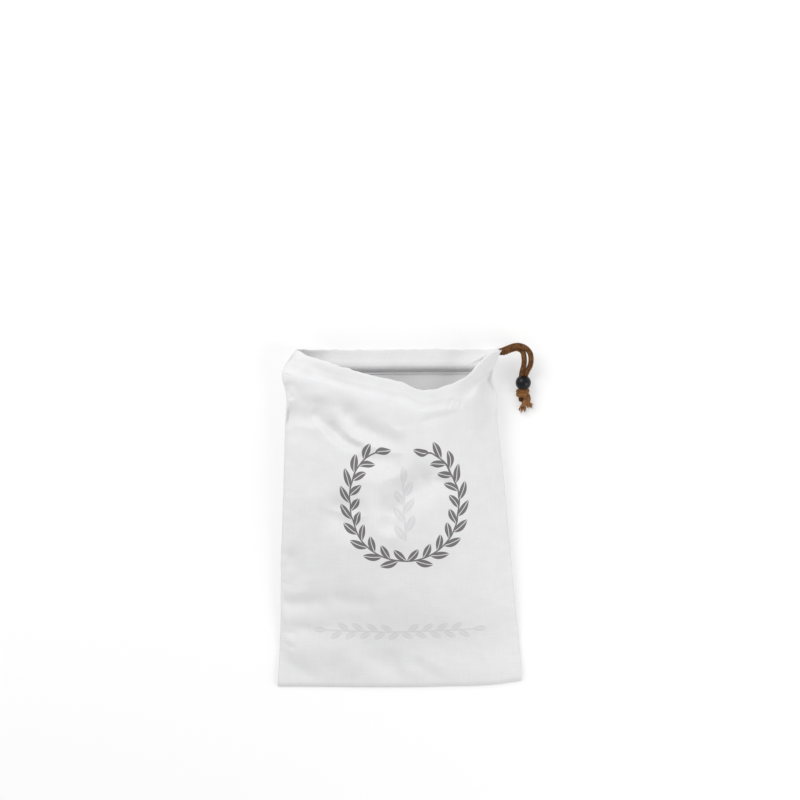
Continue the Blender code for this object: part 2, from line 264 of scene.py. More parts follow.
def braid(line, radius, sides=8):
    """Eight yarns braided about a line: four turn each way and pass over and under in turn."""
    radius = np.broadcast_to(radius, len(line))
    along, side, other = ways_across(line)
    turned = 2 * np.pi * run_along(line) / BRAID_TURN
    parts = []
    for yarn in range(YARNS):
        way = 1 if yarn % 2 else -1
        angle = way * turned + np.pi / 2 * (yarn // 2)
        out = side * np.cos(angle)[:, None] + other * np.sin(angle)[:, None]
        off = radius * (BRAID_MIDDLE + way * BRAID_WEAVE * np.cos(4 * turned))
        path = line + out * off[:, None]
        wide_way = unit(np.cross(out, unit(np.gradient(path, axis=0))))
        wide, thick = radius * YARN_HALF_WIDTH, radius * YARN_HALF_THICKNESS
        parts.append(tube(path, wide_way, wide, out, thick, sides))
    parts.append(tube(line, side, radius * CORE_SHARE, other, radius * CORE_SHARE, sides))
    return join(parts)


def height_in_braid(points, line, radius):
    """How far out in the braid each point lies, from 0 at its core to 1 at the crown of a yarn."""
    nearest = []
    for start in range(0, len(points), MEASURED_AT_ONCE):
        block = points[start : start + MEASURED_AT_ONCE]
        nearest.append(np.linalg.norm(block[:, None] - line[None], axis=-1).min(axis=1))
    return np.clip(np.concatenate(nearest) / radius, 0, FARTHEST_OUT)


def braided_cord(name, line, radius, material, sides=8):
    """A braid as an object, with the maps that its yarn's colour needs."""
    points, faces, places = braid(line, radius, sides)
    crown = height_in_braid(points, line, np.max(radius))
    return add_mesh(name, points, faces, material, {"yarn": places}, {"crown": crown})


# Soft-spun cotton yarn, dyed brown: matt and fibrous, with painted shade between the yarns and painted
# light on their crowns, set by how far out in the braid each point lies. Its fibres lie along the yarn,
# about 0.3 mm apart, and its shade changes in patches of about 4 mm.
matt = {"Roughness": 0.88, "Specular IOR Level": 0.15, "Sheen Weight": 0.04}
yarn_brown, tree, shader = new_material("dyed_cotton_yarn", matt)
place = add_node(tree, "ShaderNodeUVMap", uv_map="yarn")
crown = add_node(tree, "ShaderNodeAttribute", attribute_name="crown")
around = add_node(tree, "ShaderNodeMapping", {"Vector": place, "Scale": (900.0, 2600.0, 1.0)})
fibres = add_node(tree, "ShaderNodeTexNoise", {"Vector": around, "Scale": 1.0, "Detail": 3.0})
where = add_node(tree, "ShaderNodeTexCoord").outputs["Object"]
patches = add_node(tree, "ShaderNodeTexNoise", {"Vector": where, "Scale": 260.0, "Detail": 2.0})
mixed = add_node(tree, MATH, {0: fibres, 1: patches}, operation="ADD")
shift = add_node(tree, MATH, {0: mixed, 1: 0.6, 2: -0.6}, operation="MULTIPLY_ADD")
# Painted shade and light: darker deep in the braid, lighter out on the crowns, shifted by random patches.
depth_shade_and_patches = add_node(tree, MATH, {0: crown.outputs["Fac"], 1: shift}, operation="ADD")
level = add_node(tree, MATH, {0: depth_shade_and_patches, 1: 1.6, 2: -1.16}, operation="MULTIPLY_ADD")
tones = add_node(tree, "ShaderNodeValToRGB", {"Fac": level})
tones.color_ramp.elements[0].position = 0.12
tones.color_ramp.elements[0].color = linear(YARN_GAP_SHADE)
tones.color_ramp.elements[1].position = 0.92
tones.color_ramp.elements[1].color = linear(YARN_LIGHT)
tones.color_ramp.elements.new(0.56).color = linear(YARN_BROWN)
fuzz = add_node(tree, "ShaderNodeBump", {"Height": fibres, "Strength": 0.7, "Distance": 0.0002})
tree.links.new(tones.outputs["Color"], shader.inputs["Base Color"])
tree.links.new(fuzz.outputs["Normal"], shader.inputs["Normal"])

BEAD_CENTRE = Place(x=128.6, up=315.7, z=8.0)
BEAD_RADIUS = 8.0
BEAD_BORE = 4.3
PINCHED = 0.78
PINCH_REACH = 5.0


def pinched(line):
    """The cord's radius along a strand, a little less where the bead holds it."""
    beside = np.clip(np.abs(line[:, 1] - BEAD_CENTRE.up) / PINCH_REACH - 1, 0, 1)
    return CORD_RADIUS * (PINCHED + (1 - PINCHED) * beside)


def stands_for(piece, node):
    """Puts a piece in a CAD node's place. Every piece rides on the one body, because nothing moves."""
    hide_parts(node)
    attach(piece, "root")


outer_line = smooth_route(OUTER_ROUTE, STRAND_STEP)
inner_line = smooth_route(INNER_ROUTE, STRAND_STEP)
outer_strand = braided_cord("outer_strand", outer_line, pinched(outer_line), yarn_brown)
inner_strand = braided_cord("inner_strand", inner_line, pinched(inner_line), yarn_brown)
stands_for(outer_strand, "strand_outer")
stands_for(inner_strand, "strand_inner")


# Bead
# A round bead turned from wood and dipped in black satin lacquer, with its rims eased. It slides on both
# strands and holds the mouth shut.
BEAD_RIM = 0.55
BEAD_ARC_POINTS = 29
RIM_ARC_POINTS = 7
BEAD_STEPS = 72
BEAD_BLACK = "#07080c"
BEAD_RUBBED = "#14161c"

# Black satin lacquer on wood: a soft highlight, rubbed a little greyer in patches of about 5 mm.
lacquer, tree, shader = new_material("black_satin_lacquer", {"Specular IOR Level": 0.28})
where = add_node(tree, "ShaderNodeTexCoord").outputs["Object"]
smears = add_node(tree, "ShaderNodeTexNoise", {"Vector": where, "Scale": 210.0, "Detail": 4.0})
tone_shift = add_node(tree, "ShaderNodeMapRange", {"Value": smears, "From Min": 0.45, "From Max": 0.75})
blend = {0: tone_shift, 6: linear(BEAD_BLACK), 7: linear(BEAD_RUBBED)}
tone = add_node(tree, "ShaderNodeMix", blend, data_type="RGBA")
satin = {"Value": smears, "From Min": 0.3, "From Max": 0.7, "To Min": 0.3, "To Max": 0.42}
gloss = add_node(tree, "ShaderNodeMapRange", satin)
tree.links.new(tone.outputs[2], shader.inputs["Base Color"])
tree.links.new(gloss.outputs[0], shader.inputs["Roughness"])

rim_place = math.sqrt((BEAD_RADIUS - BEAD_RIM) ** 2 - (BEAD_BORE + BEAD_RIM) ** 2)
rim_angle = math.atan2(rim_place, BEAD_BORE + BEAD_RIM)
outline = []
for angle in np.linspace(-rim_angle, rim_angle, BEAD_ARC_POINTS):
    outline.append((BEAD_RADIUS * math.cos(angle), BEAD_RADIUS * math.sin(angle)))
for end, angles in (
    (rim_place, np.linspace(rim_angle, math.pi, RIM_ARC_POINTS)[1:]),
    (-rim_place, np.linspace(-math.pi, -rim_angle, RIM_ARC_POINTS)[:-1]),
):
    for angle in angles:
        outline.append((BEAD_BORE + BEAD_RIM * (1 + math.cos(angle)), end + BEAD_RIM * math.sin(angle)))
turned = bmesh.new()
corners = [turned.verts.new((out * MM, along * MM, 0.0)) for out, along in outline]
edges = [turned.edges.new((corners[place - 1], corners[place])) for place in range(len(corners))]
bmesh.ops.spin(
    turned,
    geom=corners + edges,
    cent=(0.0, 0.0, 0.0),
    axis=(0.0, 1.0, 0.0),
    angle=2 * math.pi,
    steps=BEAD_STEPS,
    use_merge=True,
)
bmesh.ops.remove_doubles(turned, verts=turned.verts, dist=1e-7)
bmesh.ops.recalc_face_normals(turned, faces=turned.faces)
bmesh.ops.translate(turned, verts=turned.verts, vec=world(BEAD_CENTRE).tolist())
bead_mesh = bpy.data.meshes.new("turned_bead")
turned.to_mesh(bead_mesh)
turned.free()
bead_mesh.shade_smooth()
bead_mesh.materials.append(lacquer)
bead = add_object("turned_bead", bead_mesh)
stands_for(bead, "bead")


# Knot and frayed ends
# The two strands are tied together in one tight knot that keeps the bead on. Below it their cut ends have
# come unbraided into loose yarns with fine fibres.
KNOT_CENTRE = Place(x=128.6, up=302.8, z=5.25)
Wrap = namedtuple("Wrap", "x up z wide high turn lean")
KNOT_WRAPS = (
    Wrap(x=-0.5, up=4.2, z=0.2, wide=4.6, high=3.3, turn=3.0, lean=5.0),
    Wrap(x=-0.4, up=0.2, z=0.1, wide=4.8, high=3.5, turn=-6.0, lean=-6.0),
)
KNOT_SIDE = table(
    Place,
    (129.8, 304.4, 8.6),
    (132.9, 302.2, 8.2),
    (134, 299, 7),
    (133.2, 295.8, 5.2),
)
KNOT_LOOP = table(
    Place,
    (129.4, 300.4, 4.6),
    (126.6, 300.2, 3.4),
    (125.3, 298.8, 2.7),
    (126.8, 297.5, 2.8),
    (129.4, 297.2, 3.8),
)
WRAP_POINTS = 70
WRAP_RADIUS = 2.15
LOOP_RADIUS = 1.7
# How much lighter or darker each knot piece is: the wraps and the side lighter, the loop darker as painted
# shade in the pocket under the knot.
KNOT_TONE_AND_SHADE = (0.16, 0.16, 0.12, -0.14)
LEFT_END = table(
    Place,
    (128.6, 309.6, 6.8),
    (130.8, 302.4, 5.8),
    (130.6, 297.6, 5.8),
    (129, 292, 4.2),
    (127.8, 286.4, 2.9),
)
RIGHT_END = table(
    Place,
    (130.6, 309.6, 7),
    (131, 302, 5.6),
    (132, 297, 4.8),
    (133.8, 293.6, 3.4),
    (136, 291, 2.7),
)
FRAY_START = 300.0
FRAY_LENGTH = 11.0
FRAY_EASE = 1.4
END_STEP = 0.4
# The frayed ends are painted darker near the strand's middle line and lighter out at the loose yarns and
# fibres, as painted shade by depth.
END_SHADE = 0.92
END_SHADE_BY_DEPTH = 0.36
YARN_OFF_MIDDLE = 1.3
YARN_STRAYING = (-0.4, 2.1)
YARN_TWIST = 0.28
YARN_RADIUS = 0.74
YARN_LUMPS = 0.12
LUMP_RATE = 4.0
YARN_SIDES = 8
YARN_CUT_STEPS = 6
YARN_CURL = 0.45
CURL_RATES = (1.2, 2.2)
SWING_RATES = (1.0, 2.0)
FIBRES_IN_END = 80
FIBRE_RADIUS = 0.09
FIBRE_LENGTHS = (0.8, 3.4)
FIBRE_STRAYING = 0.5
FIBRE_BEND = 0.6
FIBRE_ROOTS = 0.3
FIBRE_IN_YARN = -0.4
FIBRE_POINTS = 8
FIBRE_SIDES = 4
FIBRE_TAPER = 0.5
LOWEST_FIBRE = 0.25
LOWEST_POINT = 0.12
ABOVE_TABLE = 0.1


def wrap_line(wrap):
    """One turn of the cord about the strands, closed on its underside."""
    angle = np.linspace(-np.pi / 2, 1.5 * np.pi, WRAP_POINTS)
    turn, lean = math.radians(wrap.turn), math.radians(wrap.lean)
    side, rise = wrap.wide * np.cos(angle), wrap.high * np.sin(angle)
    x = KNOT_CENTRE.x + wrap.x + side * math.cos(turn)
    up = KNOT_CENTRE.up + wrap.up + side * math.sin(turn) + rise * math.sin(lean)
    return np.stack([x, up, KNOT_CENTRE.z + wrap.z + rise], axis=-1)


def frayed_end(route, seed):
    """One strand's cut end: its eight yarns come apart and curl, and fine fibres stand out of them."""
    random = np.random.default_rng(seed)
    line = smooth_route(route, END_STEP)
    _, side, other = ways_across(line)
    run = run_along(line)
    loose = np.clip((FRAY_START - line[:, 1]) / FRAY_LENGTH, 0, 1) ** FRAY_EASE
    parts, tips = [], []
    for yarn in range(YARNS):
        angle = 2 * np.pi * yarn / YARNS + YARN_TWIST * run
        off = YARN_OFF_MIDDLE + loose * random.uniform(*YARN_STRAYING)
        curl = YARN_CURL * loose * np.sin(run * random.uniform(*CURL_RATES) + random.uniform(0, 6))
        swing = YARN_CURL * loose * np.sin(run * random.uniform(*SWING_RATES) + random.uniform(0, 6))
        path = line + side * (off * np.cos(angle) + curl)[:, None]
        path += other * (off * np.sin(angle) + swing)[:, None]
        path[:, 2] = np.maximum(path[:, 2], YARN_RADIUS + ABOVE_TABLE)
        path = path[: len(path) - int(random.integers(0, YARN_CUT_STEPS))]
        _, across, over = ways_across(path)
        thick = YARN_RADIUS * (1 + YARN_LUMPS * np.sin(run[: len(path)] * LUMP_RATE + yarn))
        parts.append(tube(path, across, thick, over, thick, YARN_SIDES))
        tips.append((path[-1], unit(path[-1] - path[-4])))
    for fibre_number in range(FIBRES_IN_END):
        start, tip = tips[fibre_number % YARNS]
        way = unit(tip + random.normal(0, FIBRE_STRAYING, 3))
        bend, length = random.normal(0, FIBRE_STRAYING, 3), random.uniform(*FIBRE_LENGTHS)
        share = np.linspace(FIBRE_IN_YARN, 1, FIBRE_POINTS)[:, None]
        root = start + random.normal(0, FIBRE_ROOTS, 3)
        fibre = root + way * share * length + bend * share**2 * length * FIBRE_BEND
        fibre[:, 2] = np.maximum(fibre[:, 2], LOWEST_FIBRE)
        _, across, over = ways_across(fibre)
        thin = FIBRE_RADIUS * (1 - FIBRE_TAPER * np.clip(share[:, 0], 0, 1))
        parts.append(tube(fibre, across, thin, over, thin, FIBRE_SIDES))
    points, faces, places = join(parts)
    points[:, 2] = np.maximum(points[:, 2], LOWEST_POINT)
    return points, faces, places, line


knot_lines = [(wrap_line(wrap), WRAP_RADIUS) for wrap in KNOT_WRAPS]
knot_lines.append((smooth_route(KNOT_SIDE, STRAND_STEP), WRAP_RADIUS))
knot_lines.append((smooth_route(KNOT_LOOP, STRAND_STEP), LOOP_RADIUS))
braids = [braid(line, radius) for line, radius in knot_lines]
points, faces, places = join(braids)
# Each piece's tone shift is added to its depth in the braid; the loop's is painted shade.
crown = [
    tone_shift + height_in_braid(part[0], line, radius)
    for tone_shift, part, (line, radius) in zip(KNOT_TONE_AND_SHADE, braids, knot_lines)
]
points[:, 2] = np.maximum(points[:, 2], ABOVE_TABLE)
knot = add_mesh("tied_knot", points, faces, yarn_brown, {"yarn": places}, {"crown": np.concatenate(crown)})
stands_for(knot, "knot")
for name, node, route, seed in (
    ("frayed_end_left", "tail_left", LEFT_END, 4),
    ("frayed_end_right", "tail_right", RIGHT_END, 9),
):
    points, faces, places, line = frayed_end(route, seed)
    crown = END_SHADE + END_SHADE_BY_DEPTH * height_in_braid(points, line, WRAP_RADIUS)
    end = add_mesh(name, points, faces, yarn_brown, {"yarn": places}, {"crown": crown})
    stands_for(end, node)


# Front panel
# One rectangle of white cotton, 253 mm wide, sewn to the back panel along both sides and the bottom. It is
# screen-printed in grey before sewing, and its mouth end is folded in and stitched down as the casing.
CLOTH = 0.6
BAG_LENGTH = 350.8
FLAT_WIDTH = 253.0
SEAM_LIFT = 0.31
SEAM_DROP = 0.62
SEAM_LIP = 0.004
FRONT_ARCH = 2.2
FULL_FOLD_RISE = 4.0
EXIT_SPREAD = 7.3
EXIT_DEPTH = 30.0
EXIT_REACH = 0.2
EXIT_EASE = 1.5
CASING_INSET = 0.12
STITCH_DOWN = 22.8
WAVES = 9
WAVE_SIZES = (0.7, 1.7)
SCALLOP = 0.5
SCALLOP_DEPTH = 7.0
SCALLOP_LENGTH = 15.0
SCALLOP_SEED = 21
SEAM_WOBBLE = 0.15
SEAM_WOBBLE_LENGTH = 13.0
SEAM_WOBBLE_REACH = 0.02
SEAM_WOBBLE_SEED = 31
SEAM_DRAWN = 0.15
SEAM_DRAWN_LENGTH = 10.0
SEAM_DRAWN_REACH = 0.035
SEAM_DRAWN_FROM = 20.0
SEAM_DRAWN_APART = 50
SEAM_DRAWN_SEED = 12
SEAM_LOWEST = 0.64
PUCKER = 0.1
PUCKER_LENGTH = 9.0
PUCKER_REACH = 8.0
PUCKERS_APART = 40
PUCKER_SEED = 8
HEM_TOUCHING = 0.65
FACING_ACROSS = 0.004
FACING_DOWN = 1.0

Section = namedtuple("Section", "up left right seam rise")
SECTIONS = table(
    Section,
    (0, -126.6, 125.6, 1.31, 0),
    (4, -126.6, 126.2, 1.31, 1.2),
    (16, -126, 126.6, 1.6, 5.2),
    (46, -124.3, 124.2, 3, 13),
    (84.6, -123.4, 120.5, 7, 28),
    (131.4, -123.2, 116.2, 9.6, 42),
    (172.9, -121.7, 112.3, 12, 48.5),
    (221.8, -120.1, 107.9, 15, 50),
    (274.9, -118.8, 101.8, 18, 49),
    (307.1, -118.2, 100.3, 20, 47),
    (319.6, -122, 96.6, 20.6, 46),
    (328.9, -121.2, 98.1, 21, 45.5),
    (339.4, -115.4, 101.2, 21.6, 45),
    (350.8, -106.6, 106.4, 22, 44),
)

Edge = namedtuple("Edge", "across up")
BOTTOM_EDGE = table(Edge, (0, 0), (0.7, 0.2), (0.9, 2.4), (1, 6))
FRONT_MOUTH = table(
    Edge,
    (0, 350.8),
    (0.05, 346.1),
    (0.155, 339.4),
    (0.33, 328.6),
    (0.5, 319.1),
    (0.57, 315.4),
    (0.635, 308),
    (0.69, 307.9),
    (0.77, 312.7),
    (0.83, 317),
    (0.895, 325.4),
    (0.93, 337.7),
    (0.955, 345),
    (1, 349.8),
)

Fold = namedtuple("Fold", "x up x_end up_end width rise")
FRONT_FOLDS = table(
    Fold,
    (-84, 293, -66, 269, 9, -3.2),
    (-66, 269, -44, 257, 9, -1.8),
    (-55, 291, -31, 274, 9, -2),
    (27, 223, -13, 189, 15, -2.4),
    (-59, 197, -54, 200, 8, -1.4),
    (-112, 131, -100, 118, 8, -1.6),
    (-114, 85, -100, 86, 6, -1.2),
    (-114, 59, -98, 60, 6, -1.1),
    (94, 318, 86, 275, 7, -3.2),
    (-39, 46, -7, 26, 13, -2),
    (-110, 312, -100, 298, 6, -2.4),
    (-104, 301, -50, 288, 8, -1.8),
)
FRONT_CREASES = table(
    Fold,
    (-112, 303, -84, 300, 9.5, 4.8),
    (-110, 281, -92, 278, 11, -7.6),
    (-102, 266, -88, 260, 14, -4),
    (-119, 312, -113, 301, 3.6, -5),
    (-88, 281, -80, 275, 8, -8.5),
    (-80, 275, -68, 264, 6.6, -9.5),
    (-68, 264, -57, 255, 6.2, -10.5),
    (-57, 255, -43, 248, 5.8, -9),
    (-66, 284, -50, 266, 5, 0.9),
    (-54, 280, -44, 270, 9, -8.6),
    (-44, 270, -26, 262, 9.5, -9.8),
    (-26, 262, -7, 253, 11.5, -9),
    (-35, 237, -9, 234, 12.5, -8.8),
    (-48, 218, -20, 214, 9, 1.6),
    (48, 212, 24, 213, 7.5, -7.4),
    (24, 213, 4, 201, 13, -13.5),
    (4, 201, -6, 185, 11.5, -12.5),
    (-6, 185, -10, 170, 9, -8),
    (44, 194, 12, 170, 9, 1.2),
    (-23, 166, 5, 151, 11, 1.6),
    (-63, 187, -46, 186, 10, -7.6),
    (-64, 176, -50, 168, 12.5, -7.6),
    (-106, 196, -82, 194, 14, 2.4),
    (-109, 134, -108, 110, 11, -4.2),
    (-96, 142, -94, 112, 7, 1),
    (-124, 109, -113, 107, 3.6, -2.4),
    (-120, 87, -86, 88, 9.5, -3.4),
    (-124, 85, -108, 85, 5, -2.4),
    (-116, 70, -82, 68, 11, 1.6),
    (-124, 58, -112, 55, 3.4, -1.4),
    (-124, 46, -112, 41, 3.4, -2.2),
    (-60, 90, -34, 87, 9, -3.2),
    (-112, 40, -40, 38, 17, 6.4),
    (-40, 34, -12, 22, 12, -2.8),
    (-9, 28, -3, 14, 8, -2.2),
    (18, 24, 36, 14, 7, -1.8),
    (-117, 26, -96, 12, 10, -2),
    (-84, 19, -30, 13, 6, 0.7),
    (60, 38, 82, 30, 9, -1.6),
    (40, 48, 110, 44, 18, -1.8),
    (-8, 128, 40, 122, 20, -3.4),
    (106, 85, 124, 80, 4, 0.9),
    (87, 325, 68, 308, 6.4, -7),
    (85, 320, 79, 302, 4.5, 1.6),
    (95, 327, 94, 312, 4.6, -4),
    (90, 318, 88, 262, 10, -5.6),
    (26, 285, 55, 289, 4.2, 1.8),
    (25, 276, 56, 285, 3.6, -1.2),
    (50, 291, 53, 297, 2.2, -1.7),
    (56, 291, 59, 297, 2.1, -1.6),
    (62, 292, 65, 298, 2.1, -1.5),
    (34, 304, 38, 300, 4.5, 1.2),
    (-112, 344, -107, 333, 5.5, -2.4),
    (-86, 329, -64, 319, 6, -2.6),
    (-8, 294, -3, 272, 8, -2.6),
    (-58, 2, -57, 5, 1.8, 0.6),
    (-28, 2, -27, 5, 1.8, 0.6),
)
CREASE_SHARE = 0.8
Swell = namedtuple("Swell", "rise length seed")
FRONT_SWELLS = table(Swell, (0.28, 46.0, 3), (0.12, 19.0, 5))
BOTTOM_RIDGE = 2.4
RIDGE_EDGE = 2.2
RIDGE_WIDTH = 24.0
RIDGE_SLOPE = 8.0

Layer = namedtuple("Layer", "down inward")
FRONT_HEM_OUTER = table(
    Layer,
    (58, 0),
    (48, -0.15),
    (38, -0.55),
    (30, -0.95),
    (24.5, -1.15),
    (21.5, -1.1),
    (18.5, -0.65),
    (15.5, -0.35),
    (12, -0.4),
    (8.5, -0.05),
    (5, -0.15),
    (1.8, -0.3),
    (0.5, -0.05),
    (0, 0.6),
)
FRONT_HEM_INNER = table(
    Layer,
    (0.4, 1.3),
    (1.5, 1.8),
    (5, 2.6),
    (10, 4.4),
    (14, 6),
    (17, 6.5),
    (19.5, 5.2),
    (21.6, 2.2),
    (23.2, -0.1),
    (25.2, -0.3),
)
BACK_HEM_OUTER = table(
    Layer,
    (27, 0),
    (17, 0),
    (10, 0),
    (1.5, 0),
    (0.4, 0.25),
    (0, 0.8),
)
BACK_HEM_INNER = table(
    Layer,
    (0.35, 1.4),
    (1.3, 1.7),
    (5, 2.6),
    (10, 4.4),
    (14, 6.3),
    (17, 6.8),
    (19.5, 5.9),
    (22, 3),
    (23.4, 1),
    (25.2, 0.9),
)


def eased(share):
    """A share from 0 to 1 with a soft start and end."""
    share = np.clip(share, 0, 1)
    return share**2 * (3 - 2 * share)


def hump(apart, width):
    """1 in the middle, and fading smoothly to nothing about two widths off."""
    return np.exp(-((apart / width) ** 2))


def column(rows, place, name, at):
    """One column of a table as a smooth curve along another of its columns."""
    places = np.array([getattr(row, place) for row in rows])
    values = np.array([getattr(row, name) for row in rows])
    return curve_through(places, values, at)


def each_fold(folds, x, up):
    """How far each soft fold lifts or sinks the cloth."""
    for fold in folds:
        run_x, run_up = fold.x_end - fold.x, fold.up_end - fold.up
        share = ((x - fold.x) * run_x + (up - fold.up) * run_up) / (run_x**2 + run_up**2)
        share = np.clip(share, 0, 1)
        apart = np.hypot(x - fold.x - share * run_x, up - fold.up - share * run_up)
        yield fold.rise * hump(apart, fold.width)


def crease_rise(x, up):
    """All creases: where they meet, the deepest trough and the highest ridge hold, so none doubles."""
    depth, height = np.zeros_like(x), np.zeros_like(x)
    for rise in each_fold(FRONT_CREASES, x, up):
        depth, height = np.minimum(depth, rise), np.maximum(height, rise)
    return depth + height


def unevenness(x, up, size, seed):
    """Slow waves of about one size that lie every way, from about -1 to 1."""
    random = np.random.default_rng(seed)
    total = np.zeros_like(x)
    for _ in range(WAVES):
        way, wave = random.uniform(0, 2 * np.pi), size * random.uniform(*WAVE_SIZES)
        phase = random.uniform(0, 2 * np.pi)
        total += np.sin((x * np.cos(way) + up * np.sin(way)) * 2 * np.pi / wave + phase)
    return total / math.sqrt(WAVES)


def plan(mouth, across, down):
    """x, up and the share of the way in from the nearer seam, for a place so far below the mouth edge."""
    scallop = SCALLOP * unevenness(FLAT_WIDTH * across, 0 * across, SCALLOP_LENGTH, SCALLOP_SEED)
    scallop = scallop * np.exp(-down / SCALLOP_DEPTH)
    up = column(mouth, "across", "up", across) - down + scallop
    left = column(SECTIONS, "up", "left", up)
    right = column(SECTIONS, "up", "right", up)
    from_seam = np.clip(np.minimum(across, 1 - across) - SEAM_LIP, 0, 1)
    x = left + (right - left) * across
    wobble = SEAM_WOBBLE * unevenness(up, 0 * up, SEAM_WOBBLE_LENGTH, SEAM_WOBBLE_SEED)
    wobble = wobble * np.sign(across - 0.5)
    return x + wobble * np.exp(-from_seam / SEAM_WOBBLE_REACH), up, from_seam


def exit_spread(across, up):
    """How far each panel stands off the right seam where the cord leaves."""
    near_mouth = np.clip(1 - (BAG_LENGTH - up) / EXIT_DEPTH, 0, 1) ** EXIT_EASE
    return EXIT_SPREAD * near_mouth * eased((across - 1 + EXIT_REACH) / EXIT_REACH)


def seam_height(across, up):
    """The height of the side seams, drawn up a little by their stitching."""
    beside = hump(np.minimum(across, 1 - across), SEAM_DRAWN_REACH) * np.clip(up / SEAM_DRAWN_FROM, 0, 1)
    seam = SEAM_DRAWN_APART * np.round(across)
    drawn = SEAM_DRAWN * beside * unevenness(up, seam, SEAM_DRAWN_LENGTH, SEAM_DRAWN_SEED)
    return np.maximum(column(SECTIONS, "up", "seam", up) - SEAM_DROP + drawn, SEAM_LOWEST)


def front_surface(across, down):
    """The middle of the front panel's outer layer."""
    x, up, from_seam = plan(FRONT_MOUTH, across, down)
    rise = column(SECTIONS, "up", "rise", up)
    arch = 1 - (1 - np.clip(from_seam / (0.5 - SEAM_LIP), 0, 1)) ** FRONT_ARCH
    free = np.clip(rise * arch / FULL_FOLD_RISE, 0, 1)
    folds = sum(each_fold(FRONT_FOLDS, x, up))
    for swell in FRONT_SWELLS:
        folds = folds + swell.rise * unevenness(x, up, swell.length, swell.seed)
    folds = free * folds + np.clip(free * 2, 0, 1) * CREASE_SHARE * crease_rise(x, up)
    beside_seam = hump(from_seam * FLAT_WIDTH, PUCKER_REACH) * np.clip(free * 4, 0, 1)
    seam = PUCKERS_APART * np.round(across)
    folds += PUCKER * beside_seam * unevenness(up, seam, PUCKER_LENGTH, PUCKER_SEED)
    in_from_bottom = np.clip(up - column(BOTTOM_EDGE, "across", "up", across), 0, None)
    ridge = BOTTOM_RIDGE * (1 - hump(in_from_bottom, RIDGE_EDGE))
    ridge = ridge / (1 + np.exp((in_from_bottom - RIDGE_WIDTH) / RIDGE_SLOPE))
    z = seam_height(across, up) + SEAM_LIFT + exit_spread(across, up) + rise * arch + folds + ridge
    return np.stack([x, up, z], axis=-1)


def casing_fullness(across):
    """How much of the casing's roundness a place keeps: none at the seams, where the panels meet."""
    return eased((np.minimum(across, 1 - across) - SEAM_LIP) / (CASING_INSET / 2))


def cloth_point(surface, inside, across, down, inward):
    """A place on a panel, so far to the inside of its outer layer."""
    sideways = surface(across + FACING_ACROSS, down) - surface(across - FACING_ACROSS, down)
    upwards = surface(across, down - FACING_DOWN) - surface(across, down + FACING_DOWN)
    normal = unit(np.cross(sideways, upwards))
    return surface(across, down) + normal * inside * np.asarray(inward)[..., None]


COLUMNS = 146
BODY_ROWS = 190
HEM_STEP = 0.95
# How much whiter the cloth is painted, as painted light, where its layers lie on each other, by depth below
# the mouth edge.
LAYERS_DOWN = (0.0, 14.0, 20.5, 24.0, 29.0, 36.0)
LAYERS = (0.05, 0.05, 0.5, 0.5, 0.1, 0.0)
LINE_ACROSS = (0.0, 0.56, 0.7, 1.0)
LINE_SHARE = (1.0, 1.0, 0.35, 0.35)
LINE_START = 15.0
LINE_FADE = 4.0
INNER_START = 0.014
INNER_END = 0.996
EXIT_FLAT = 0.9
EXIT_SLOPE = 2.5
EXIT_COVER = 6.2
EXIT_COVER_WIDTH = 5.0
EXIT_START = 0.86
EXIT_DOWN = 4.5
EXIT_ACROSS = 0.985
CORD_DOWN = 17.0
CORD_ACROSS = (0.88, 0.13)


def cord_down(across):
    """How far below the mouth edge the cord lies in its casing."""
    return np.interp(across, [CORD_ACROSS[0], EXIT_ACROSS], [CORD_DOWN, EXIT_DOWN])


def line_share(across, down):
    """How round the cloth is along the stitched line: less and less towards the right."""
    beside_line = np.clip((down - LINE_START) / LINE_FADE, 0, 1)
    return 1 - beside_line * (1 - np.interp(across, LINE_ACROSS, LINE_SHARE))


def hem_inward(across, down, inward, inner):
    """The hem's distance from the outer layer: flat at the seams, round over the cord where it leaves."""
    fullness = casing_fullness(across)
    if not inner:
        return inward * fullness * line_share(across, down)
    lying = HEM_TOUCHING + (inward - HEM_TOUCHING) * fullness
    near_exit = eased((across - EXIT_START) / (1 - EXIT_START) * EXIT_SLOPE)
    over_cord = EXIT_FLAT + EXIT_COVER * hump(down - cord_down(across), EXIT_COVER_WIDTH)
    return lying + (np.maximum(lying, over_cord) - lying) * near_exit


def panel_grid(surface, mouth, inside, outer_hem, inner_hem):
    """A panel's points row by row, from the bottom edge up and over the hem, which of them are cloth, and
    how many layers lie there, from 0 for one to 1 for the three at the hem's turned edge."""
    even = np.linspace(0, 1, COLUMNS)
    closer_at_seams = 0.5 - 0.5 * np.cos(np.pi * even)
    across = (even + closer_at_seams) / 2
    length = column(mouth, "across", "up", across) - column(BOTTOM_EDGE, "across", "up", across)
    hem = np.array(outer_hem + inner_hem, float)
    start = outer_hem[0].down
    rows, kept, layers = [], [], []
    for share in np.linspace(0, 1, BODY_ROWS, endpoint=False):
        rows.append(cloth_point(surface, inside, across, start + (length - start) * (1 - share), 0 * across))
        kept.append(np.full(COLUMNS, True))
        layers.append(np.zeros(COLUMNS))
    run = run_along(hem)
    for place in np.union1d(np.arange(0, run[-1], HEM_STEP), run):
        down = curve_through(run, hem[:, 0], place) + 0 * across
        inward = curve_through(run, hem[:, 1], place)
        inner = place > run[len(outer_hem) - 1]
        rows.append(cloth_point(surface, inside, across, down, hem_inward(across, down, inward, inner)))
        kept.append((across >= INNER_START) & (across <= INNER_END) if inner else np.full(COLUMNS, True))
        # The layers' share whitens the cloth's colour, as painted light.
        layers.append(np.interp(down, LAYERS_DOWN, LAYERS) * line_share(across, down))
    return np.array(rows), np.array(kept), np.array(layers)


